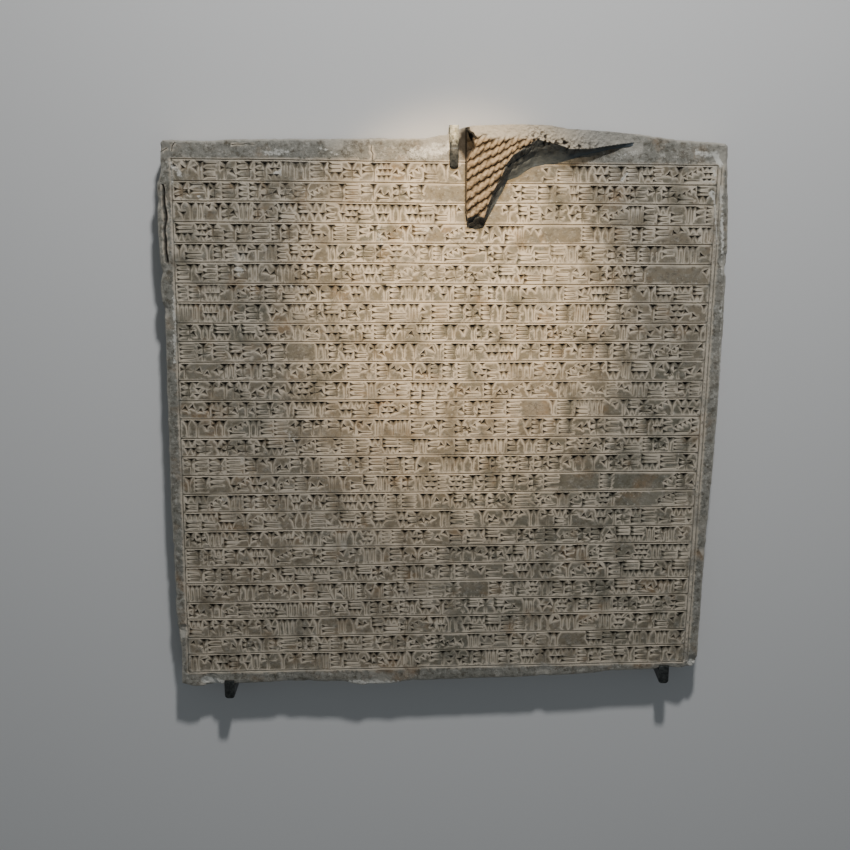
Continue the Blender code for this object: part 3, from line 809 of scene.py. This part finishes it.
class Coating:
    """A new material with short ways to add and join its nodes."""

    def __init__(self, name):
        self.material = bpy.data.materials.new(name)
        self.material.use_nodes = True
        self.tree = self.material.node_tree
        self.shader = self.tree.nodes["Principled BSDF"].inputs
        self.place = self.add("ShaderNodeTexCoord").outputs["Object"]

    def add(self, kind, **values):
        node = self.tree.nodes.new(kind)
        for key, value in values.items():
            if key in node.inputs.keys():
                node.inputs[key].default_value = value
            else:
                setattr(node, key, value)
        return node

    def feed(self, socket, value):
        """Give a socket a colour, a number or what another node makes."""
        if isinstance(value, tuple):
            socket.default_value = (*value, 1)
        elif isinstance(value, float):
            socket.default_value = value
        else:
            self.tree.links.new(value, socket)

    def attribute(self, name):
        return self.add("ShaderNodeAttribute", attribute_name=name).outputs["Fac"]

    def worked(self, operation, *values):
        node = self.add("ShaderNodeMath", operation=operation)
        for socket, value in zip(node.inputs, values):
            self.feed(socket, value)
        return node.outputs[0]

    def ramp(self, value, low, high, to_low=0.0, to_high=1.0):
        node = self.add("ShaderNodeMapRange")
        for socket, given in zip(node.inputs, (value, low, high, to_low, to_high)):
            self.feed(socket, given)
        return node.outputs["Result"]

    def noise(self, scale, detail, roughness):
        texture = self.add("ShaderNodeTexNoise", Scale=scale, Detail=detail, Roughness=roughness)
        self.feed(texture.inputs["Vector"], self.place)
        return texture.outputs["Fac"]

    def cloud(self, scale, detail, roughness, low, high):
        return self.ramp(self.noise(scale, detail, roughness), low, high)

    def ragged(self, name, scale, low, high):
        """An attribute broken up by fine noise, so that it ends in specks."""
        total = self.worked('MULTIPLY_ADD', self.noise(scale, 5.0, 0.7), 1.6, self.attribute(name))
        return self.ramp(total, low, high)

    def mixed(self, under, over, share):
        mix = self.add("ShaderNodeMix", data_type='RGBA')
        for socket, value in ((0, share), (6, under), (7, over)):
            self.feed(mix.inputs[socket], value)
        return mix.outputs[2]

    def bumped(self, height, strength, distance, under=None):
        bump = self.add("ShaderNodeBump", Strength=strength, Distance=distance)
        self.feed(bump.inputs["Height"], height)
        if under is not None:
            self.feed(bump.inputs["Normal"], under)
        return bump.outputs["Normal"]


def stone_coats(coating, skin):
    """The stone's colours from the inside out: colour, where it lies, how strong it is."""
    cloud, ragged, attribute = coating.cloud, coating.ragged, coating.attribute
    dark_specks = coating.worked('MULTIPLY', skin, cloud(40.0, 6.0, 0.80, 0.49, 0.60))
    pale_specks = coating.worked('MULTIPLY', skin, cloud(64.0, 6.0, 0.80, 0.53, 0.62))
    return ((SHADED_BROWN, cloud(3.0, 4.0, 0.6, 0.36, 0.64), 1.0),
            (BORDER_GREY, skin, 0.80),
            (BORDER_DARK, dark_specks, 0.72),
            (BORDER_PALE, pale_specks, 0.72),
            # Ochre on the locks' tops: the stone's tint with a painted warm light
            (TUFT_OCHRE_AND_WARM_LIGHT, attribute("ochre"), 0.58),
            (RUST, cloud(14.0, 5.0, 0.6, 0.55, 0.70), 0.60),
            (DUST, cloud(10.0, 6.0, 0.65, 0.54, 0.70), 0.50),
            (MOSS_GREY, cloud(6.0, 5.0, 0.6, 0.52, 0.72), 0.48),
            (DARK_GRAINS, cloud(80.0, 5.0, 0.7, 0.50, 0.66), 0.60),
            (PALE_GRAINS, cloud(105.0, 5.0, 0.7, 0.60, 0.70), 0.80),
            (WORN_ARRIS, ragged("worn", 90.0, 0.85, 1.35), 0.70),
            (SCUFF_WHITE, ragged("scuffed", 140.0, 1.20, 1.50), 0.85),
            (RUBBED_LIP_AND_HIGHLIGHT, attribute("rubbed"), 0.88),
            (SLOPE_SHADE_BLUE_GREY, attribute("painted_slope_shade"), 0.95),
            # The carved attribute holds dirt and painted shade, in the cuts and on the relief
            (CUT_DIRT_AND_SHADE, coating.worked('POWER', attribute("carved"), 0.9), 0.96))


def stone_material():
    """Weathered alabaster: brown where handled, grey-green at the borders, mottled, with dirt and painted
    shade in the cuts, painted highlights on their lips, and painted shade and a painted warm light on the
    relief.
    """
    coating = Coating("weathered_alabaster")
    coating.shader["Roughness"].default_value = 0.82
    coating.shader["Specular IOR Level"].default_value = 0.25
    skin = coating.ragged("greyed", 60.0, 0.75, 1.45)
    colour = HANDLED_BROWN
    for over, share, strength in stone_coats(coating, skin):
        colour = coating.mixed(colour, over, coating.worked('MULTIPLY', share, strength))
    coating.feed(coating.shader["Base Color"], colour)
    hacked = coating.worked('MULTIPLY', skin, coating.cloud(48.0, 6.0, 0.75, 0.2, 0.8))
    surface = coating.bumped(hacked, 0.8, 0.0035)
    surface = coating.bumped(coating.noise(70.0, 5.0, 0.65), 0.55, 0.0012, surface)
    surface = coating.bumped(coating.noise(320.0, 6.0, 0.7), 0.45, 0.0005, surface)
    coating.feed(coating.shader["Normal"], surface)
    return coating.material


stone = stone_material()
shown("slab_stone", stone_mesh(), stone, "slab")

# Belly and tuft: carved in one with the slab, standing 58 mm out of its face at the head edge. The tuft is
# combed into twisted rope-like locks that fan out from the belly; the belly's top is broken off rough.
TIP_RISE = 0.030
CREST_RISE = 0.058
END_RISE = 0.003
SUNK = 0.010
SUNK_LEVELS = (0.75, 0.5, 0.25, 0.0)
EDGE_INSET = 0.0006
RELIEF_CELL = 0.00125
STRAIGHT_SIDE_RUN = 0.0030
TIP_SLOPE_RUN = 0.036
BELLY_FALL_START = 0.130
LOCK_FAN_REACH = 0.533
LOCK_FAN_ABOVE_HEAD = 0.235
LOCK_PITCH = 0.0300
GRAIN_PITCH = 0.0160
GRAIN_LONG = 0.0150
GRAIN_THICK = 0.0057
GRAIN_SLANT = 0.43
GRAIN_RISE = 0.0100
LOCKS_START_BELOW_HEAD = -0.018
LOCKS_WIDTH = 0.160
LOCKS_EASE = 0.016

# Arris where the top breaks into the slope: run from the tuft's straight side, depth below the head edge
RELIEF_ARRIS = ((0.0362, 0.1838), (0.0500, 0.1340), (0.0621, 0.1003), (0.0792, 0.0698), (0.0879, 0.0449),
                (0.1019, 0.0254), (0.1354, 0.0041), (0.1549, -0.0081), (0.1731, -0.0030), (0.2044, 0.0039),
                (0.2271, 0.0126), (0.2693, 0.0123), (0.3120, 0.0057), (0.3823, -0.0036))

# The slab's broken head edge rises over the carved belly: run from the slab's middle, height above its line
CREST = ((-0.520, 0.000), (-0.380, 0.004), (-0.032, 0.008), (0.012, 0.017), (0.050, 0.031), (0.078, 0.036),
         (0.177, 0.0395), (0.242, 0.0375), (0.276, 0.031), (0.364, 0.026), (0.430, 0.020), (0.550, 0.006),
         (0.632, 0.000))


def placed(chain):
    """A chain given from the tuft's straight side and the head edge, as places on the face."""
    return [Vector((TUFT_STRAIGHT_X + run, head_y(TUFT_STRAIGHT_X + run) - depth)) for run, depth in chain]


relief_foot = placed(RELIEF_FOOT)
relief_arris = placed(RELIEF_ARRIS)


def head_edge(x):
    """Broken head edge, with the belly's crest standing above it."""
    return head_y(x) + along(CREST, x - SLAB_MIDDLE.x)


def chain_distance(point, chain):
    """Shortest distance from a point to a chain of points."""
    return min(stretch_distance(point, start, end) for start, end in zip(chain, chain[1:]))


def lock_relief(x, y):
    """Share of the height of the plump slanted grains that twist along each lock of the tuft."""
    fan = Vector((TUFT_STRAIGHT_X + LOCK_FAN_REACH, head_y(x) + LOCK_FAN_ABOVE_HEAD))
    bend = 0.0022 * waver(x, y, 30, 1.0)
    reach = fan - Vector((x, y - bend))
    turn = reach.angle_signed(Vector((1, 0))) / LOCK_PITCH
    radius = reach.length
    best = 0.0
    for lock in range(math.floor(turn) - 1, math.floor(turn) + 2):
        out = (turn - lock - 0.5) * LOCK_PITCH * radius
        first = math.floor(radius / GRAIN_PITCH - 0.4 * lock)
        for grain in range(first - 1, first + 3):
            chance = random.Random(lock * 97 + grain)
            away = radius - (grain + 0.4 * lock) * GRAIN_PITCH + chance.uniform(-0.0012, 0.0012)
            slant = GRAIN_SLANT + chance.uniform(-0.10, 0.10)
            lengthwise = away * math.cos(slant) + out * math.sin(slant)
            across = out * math.cos(slant) - away * math.sin(slant) + chance.uniform(-0.0008, 0.0008)
            size = chance.uniform(0.82, 1.12)
            far = (lengthwise / (GRAIN_LONG * size)) ** 2 + (across / (GRAIN_THICK * size)) ** 2
            best = max(best, chance.uniform(0.66, 1.0) * math.sqrt(max(1 - far, 0)))
    return best


def relief_shape(x, y):
    """Height of the relief's surface, with its dirt and painted shade, how broken it is, its grey skin and
    grey painted shade, its ochre with a painted warm light, and the cool painted shade on its slopes.
    """
    point = Vector((x, y))
    depth = head_y(x) - y
    place = x - TUFT_STRAIGHT_X
    fall = (place - BELLY_FALL_START) / (RELIEF_FOOT[-1][0] - BELLY_FALL_START)
    ground = blend(CREST_RISE, TIP_RISE, smooth(depth / RELIEF_FOOT[1][1]))
    ground = blend(ground, END_RISE, min(max(fall, 0), 1)) * smooth((1.04 - place / RELIEF_FOOT[-1][0]) / 0.2)
    from_arris = chain_distance(point, relief_arris)
    gritty = smooth((place - 0.085) / 0.05) * smooth((0.330 - place) / 0.12)
    gritty *= 0.15 + 0.85 * smooth((0.034 - from_arris + 0.012 * waver(x, y, 35, 2.0)) / 0.022)
    broken = 0.0022 * waver(x, y, 42, 1.0) + (0.0008 + 0.0024 * gritty) * waver(x, y, 130, 4.0)
    broken += (0.0005 + 0.0014 * gritty) * waver(x, y, 300, 2.0)
    locks = smooth((depth - LOCKS_START_BELOW_HEAD + 0.006 * waver(x, y, 40, 7.0)) / LOCKS_EASE)
    locks *= smooth((LOCKS_WIDTH - place) / LOCKS_EASE)
    grain = lock_relief(x, y) if locks > 0 else 0
    rope = GRAIN_RISE * (grain - 0.62) + 0.0012 * waver(x, y, 230, 6.0) + 0.0018 * waver(x, y, 80, 5.0)
    top = ground + blend(broken, rope, locks)
    side = 1.0
    if place > RELIEF_ARRIS[0][0] and depth > along(RELIEF_ARRIS, place) or depth > RELIEF_ARRIS[0][1]:
        from_foot = chain_distance(point, relief_foot[1:])
        side = from_foot / (from_foot + from_arris + 1e-6)
        side = min(max(side + 0.10 * waver(x, y, 50, 3.0) * math.sin(math.pi * side), 0), 1)
    side = min(side, depth_to_tip(point) / TIP_SLOPE_RUN)
    # The dark corner is sunk a little; its darkness is dirt and painted shade
    hollow = corner_stain_and_shade(x, y)
    straight = place / STRAIGHT_SIDE_RUN
    cove = max(side, 0) ** 1.5
    rise = min(cove * top, min(max(straight, 0), 1) * top) * (1 - 0.55 * hollow)
    chisel = 0.0016 * waver(x, y * 0.5, 75, 8.0) * math.sin(math.pi * min(max(side, 0), 1))
    rise += chisel - 0.0022 * (1 - smooth(min(side, straight) / 0.1))
    on_top = min(side, max(straight, 0), 1)
    # Dark between the grains of the locks: painted shade
    shade_between_locks = 0.8 * locks * (1 - grain) ** 1.6 * smooth((on_top - 0.6) / 0.4)
    # Dark along the straight side and at the tip: dirt and painted shade
    at_straight_side = smooth((0.55 - straight) / 0.4)
    at_tip = 0.8 * smooth((0.045 - depth_to_tip(point)) / 0.02)
    fringe = 0.5 + 0.5 * waver(x, y * 0.4, 110, 2.0)
    # Dark on the upper slope under the arris: painted shadow
    slope_shadow = 0.75 * smooth((side - 0.35) / 0.3) * fringe * (side < 1)
    # Cool blue-grey on the slopes: painted shade
    slope_shade = 0.95 * smooth(side / 0.06) * (side < 1)
    rise -= 0.006 * (1 - smooth((1 - place / RELIEF_FOOT[-1][0]) / 0.07))
    # The pits near the arris are sunk and also painted dark: painted shade
    pits = smooth((0.022 - from_arris) / 0.014) * gritty * smooth(on_top)
    pitted = waver(x, y, 120, 6.0) - 0.05
    rise -= 0.0075 * pits * max(pitted, 0)
    # All the relief's darkening together: dirt and painted shade
    dirt = max(shade_between_locks, at_straight_side, at_tip, hollow, slope_shadow, pits * smooth(pitted / 0.25))
    # Grey on the slopes: painted shade; grey past the belly's end: the stone's grey skin
    grey = max(1 - smooth(on_top * 1.1), smooth((place - 0.20) / 0.12))
    return swayed(x, y) + rise, dirt, (1 - locks) * smooth(on_top), grey, locks * on_top, slope_shade


def depth_to_tip(point):
    """How far up from the tuft's tip a place lies."""
    return point.y - relief_foot[2].y + 0.35 * abs(point.x - relief_foot[2].x)


def relief_loop():
    """The relief's foot and its broken head edge as one closed loop."""
    rim = list(relief_foot)
    crest_steps = int((relief_foot[-1].x - TUFT_STRAIGHT_X) / (3 * RELIEF_CELL))
    for i in range(crest_steps + 1):
        x = blend(relief_foot[-1].x, TUFT_STRAIGHT_X, i / crest_steps)
        rim.append(Vector((x, head_edge(x) - EDGE_INSET + 0.0012 * waver(x, 0, 90, 2.0))))
    return even_steps(rim, 2 * RELIEF_CELL)


def points_inside(loop):
    """Points inside the relief's loop that make even triangles."""
    low_y = min(p.y for p in loop)
    rows = int((max(p.y for p in loop) - low_y) / (RELIEF_CELL * TRIANGLE_HEIGHT))
    inner = []
    for j in range(rows):
        y = low_y + RELIEF_CELL * TRIANGLE_HEIGHT * (j + 0.5)
        for left, right in spans(loop, y):
            for i in range(int((right - left) / RELIEF_CELL)):
                x = left + RELIEF_CELL * (i + 0.6 + 0.5 * (j % 2))
                if x < right - RELIEF_CELL * 0.4:
                    inner.append(Vector((x, y)))
    return inner


def relief_top(bm, loop):
    """The carved top of the relief. Gives back the corners of its rim."""
    points = loop + points_inside(loop)
    places, edges, faces, sources, *rest = delaunay_2d_cdt(points, loop_edges(len(loop)), [], 1, 0.0001)
    carved, worn, greyed, ochre, painted_slope_shade = wear_layers(bm, "carved", "worn", "greyed", "ochre", "painted_slope_shade")
    rim_of = {}
    top = []
    for place, source in zip(places, sources):
        rise, dirt, rough, grey, warm, slope_shade = relief_shape(place.x, place.y)
        vert = bm.verts.new((place.x, place.y, rise))
        # Dirt and painted shade of the relief
        vert[carved] = dirt
        vert[worn] = rough * 0.6
        # Grey skin, and painted shade on the slopes
        vert[greyed] = grey
        # Ochre of the locks' tops, partly a painted warm light
        vert[ochre] = warm
        # Painted shade on the slopes
        vert[painted_slope_shade] = slope_shade
        for index in source:
            if index < len(loop):
                rim_of[index] = len(top)
        top.append(vert)
    for face in faces:
        bm.faces.new([top[i] for i in face])
    return [top[rim_of[i]] for i in range(len(loop))]


def relief_sides(bm, loop, rim):
    """The relief's upright sides, down to where it ends inside the slab. Gives back the lowest ring."""
    carved, worn, greyed = wear_layers(bm, "carved", "worn", "greyed")
    upper = rim
    for share in SUNK_LEVELS:
        ring = []
        for point, corner in zip(loop, rim):
            z = blend(FACE_Z - SUNK, corner.co.z, share)
            rough = 0.0012 * side_waver(point, z, 70) if share else 0
            vert = bm.verts.new((point.x + rough, point.y - abs(rough), z))
            # The straight side is darkened: dirt and painted shade
            vert[carved] = max(0.4, corner_stain_and_shade(point.x, point.y)) if point.x < TUFT_STRAIGHT_X + 0.002 else 0.0
            vert[worn] = 0.4
            vert[greyed] = 0.6
            ring.append(vert)
        join_rings(bm, ring, upper)
        upper = ring
    return upper


def relief_mesh():
    """The belly fragment and the tuft as one closed mesh that goes a little way into the face."""
    bm = bmesh.new()
    loop = relief_loop()
    lowest = relief_sides(bm, loop, relief_top(bm, loop))
    bm.faces.new(list(reversed(lowest)))
    bmesh.ops.recalc_face_normals(bm, faces=bm.faces)
    return finished(bm, "belly_and_tuft", 50)


shown("belly_and_tuft", relief_mesh(), stone, "slab")

# Clips: bent flat bar painted black, one hooked over the head edge and two shoes under the foot edge.
# Each runs back under the slab, where its plate is fixed; the top clip is bare where it bends over, and its
# pale steel there is partly a painted highlight.
CLIP_BEVEL = 0.0011
WELD_WITHIN = 0.00005
FLAT_WITHIN = math.radians(2)
BEVEL_PAST = math.radians(40)
PAINT_BLACK = (0.018, 0.020, 0.018)
PAINT_DUSTY = (0.085, 0.088, 0.080)
# Steel where the top clip bends over: worn-off paint, with a painted highlight in its paler tone
STEEL_TARNISHED = (0.17, 0.16, 0.10)
STEEL_BARE_AND_HIGHLIGHT = (0.46, 0.45, 0.36)
BARE_FROM_Y = 0.658
BARE_FADE = 0.022


def clip_material():
    """Black paint in dusty blotches, worn off to tarnished steel where the top clip bends over the edge, made
    paler there by a painted highlight.
    """
    coating = Coating("worn_black_paint")
    coating.shader["Metallic"].default_value = 0.35
    blotch = coating.noise(120.0, 6.0, 0.7)
    parts = coating.add("ShaderNodeSeparateXYZ")
    coating.feed(parts.inputs["Vector"], coating.place)
    height = coating.worked('MULTIPLY_ADD', blotch, 0.035, parts.outputs["Y"])
    # Pale steel above a height: bare metal and a painted highlight
    bared_and_highlit = coating.ramp(height, BARE_FROM_Y, BARE_FROM_Y + BARE_FADE)
    black = coating.mixed(PAINT_BLACK, PAINT_DUSTY, coating.ramp(blotch, 0.42, 0.72))
    steel = coating.mixed(STEEL_TARNISHED, STEEL_BARE_AND_HIGHLIGHT, coating.ramp(blotch, 0.38, 0.60))
    coating.feed(coating.shader["Base Color"], coating.mixed(black, steel, bared_and_highlit))
    coating.feed(coating.shader["Roughness"], coating.ramp(blotch, 0.0, 1.0, 0.22, 0.48))
    coating.feed(coating.shader["Normal"], coating.bumped(blotch, 0.4, 0.0003))
    return coating.material


clip_paint = clip_material()
for clip in ("top_clip", "bottom_clip_left", "bottom_clip_right"):
    bm = bmesh.new()
    bm.from_mesh(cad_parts[clip].data)
    bmesh.ops.remove_doubles(bm, verts=bm.verts, dist=WELD_WITHIN)
    bmesh.ops.dissolve_limit(bm, angle_limit=FLAT_WITHIN, verts=bm.verts, edges=bm.edges)
    sharp = [e for e in bm.edges if e.is_manifold and e.calc_face_angle() > BEVEL_PAST]
    bmesh.ops.bevel(bm, geom=sharp, offset=CLIP_BEVEL, segments=3, profile=0.5, affect='EDGES', material=-1)
    shown(clip + "_bar", finished(bm, clip + "_bar", 35), clip_paint, clip)

# Floor, light and camera: a plain pale floor, a warm spotlight that makes a pool on the head half of the
# face, a small cool lamp further off that rakes the whole face, two lamps for the floor beyond it, a faint
# fill, and a camera that looks down at the photograph's angle.
FLOOR_SIZE = 30.0
FLOOR_DROP = 0.0004
FLOOR_COLOUR = (0.74, 0.73, 0.71)
POOL_COLOUR = (1.0, 0.77, 0.50)
WASH_COLOUR = (0.97, 0.98, 1.0)
FLOOR_LIGHT = (0.98, 0.99, 1.0)
FILL_COLOUR = (0.82, 0.91, 1.0)
ROOM_COLOUR = (0.80, 0.88, 0.95)
ROOM_STRENGTH = 0.13
CAMERA_PLACE = Vector((-0.0390, 0.6725, FACE_Z + 2.7137))
CAMERA_TILT = math.radians(13.8)
CAMERA_LENS = 50.8

floor_mesh = bpy.data.meshes.new("floor")
bm = bmesh.new()
bmesh.ops.create_grid(bm, x_segments=1, y_segments=1, size=FLOOR_SIZE / 2)
bmesh.ops.translate(bm, verts=bm.verts, vec=(0, 0, -FLOOR_DROP))
bm.to_mesh(floor_mesh)
bm.free()
floor = bpy.data.objects.new("floor", floor_mesh)
bpy.context.scene.collection.objects.link(floor)
floor_paint = Coating("pale_floor")
floor_paint.shader["Base Color"].default_value = (*FLOOR_COLOUR, 1)
floor_paint.shader["Roughness"].default_value = 0.9
floor_mesh.materials.append(floor_paint.material)


def aimed(light, place, target, power, colour):
    """Set a light's power and colour, hang it at a place and point it at a target."""
    light.energy = power
    light.color = colour
    thing = bpy.data.objects.new(light.name, light)
    thing.location = place
    thing.rotation_euler = (Vector(target) - Vector(place)).to_track_quat('-Z', 'Y').to_euler()
    bpy.context.scene.collection.objects.link(thing)


def round_lamp(name, size, place, target, power, colour):
    """Round area lamp."""
    light = bpy.data.lights.new(name, 'AREA')
    light.shape = 'DISK'
    light.size = size
    aimed(light, place, target, power, colour)


pool = bpy.data.lights.new("pool", 'SPOT')
pool.spot_size = math.radians(33)
pool.spot_blend = 1.0
pool.shadow_soft_size = 0.035
aimed(pool, (0.04, 1.30, 1.22), (0.03, 0.35, FACE_Z), 178, POOL_COLOUR)
round_lamp("wash", 0.25, (0.25, 2.7, 2.0), (0.0, 0.0, FACE_Z), 72, WASH_COLOUR)
round_lamp("far_floor", 2.4, (0.0, 4.6, 3.2), (0.0, 8.0, 0.0), 200, FLOOR_LIGHT)
round_lamp("near_floor", 2.4, (0.0, -4.6, 3.2), (0.0, -8.0, 0.0), 200, FLOOR_LIGHT)
round_lamp("fill", 2.6, (0.3, -0.6, 3.2), (0.0, 0.0, FACE_Z), 3, FILL_COLOUR)
room = bpy.data.worlds.new("soft_room")
room.use_nodes = True
room.node_tree.nodes["Background"].inputs["Color"].default_value = (*ROOM_COLOUR, 1)
room.node_tree.nodes["Background"].inputs["Strength"].default_value = ROOM_STRENGTH
bpy.context.scene.world = room

camera_data = bpy.data.cameras.new("camera")
camera_data.lens = CAMERA_LENS
camera_data.clip_end = 100
camera = bpy.data.objects.new("camera", camera_data)
camera.location = CAMERA_PLACE
camera.rotation_euler = (-CAMERA_TILT, 0, 0)
bpy.context.scene.collection.objects.link(camera)
bpy.context.scene.camera = camera
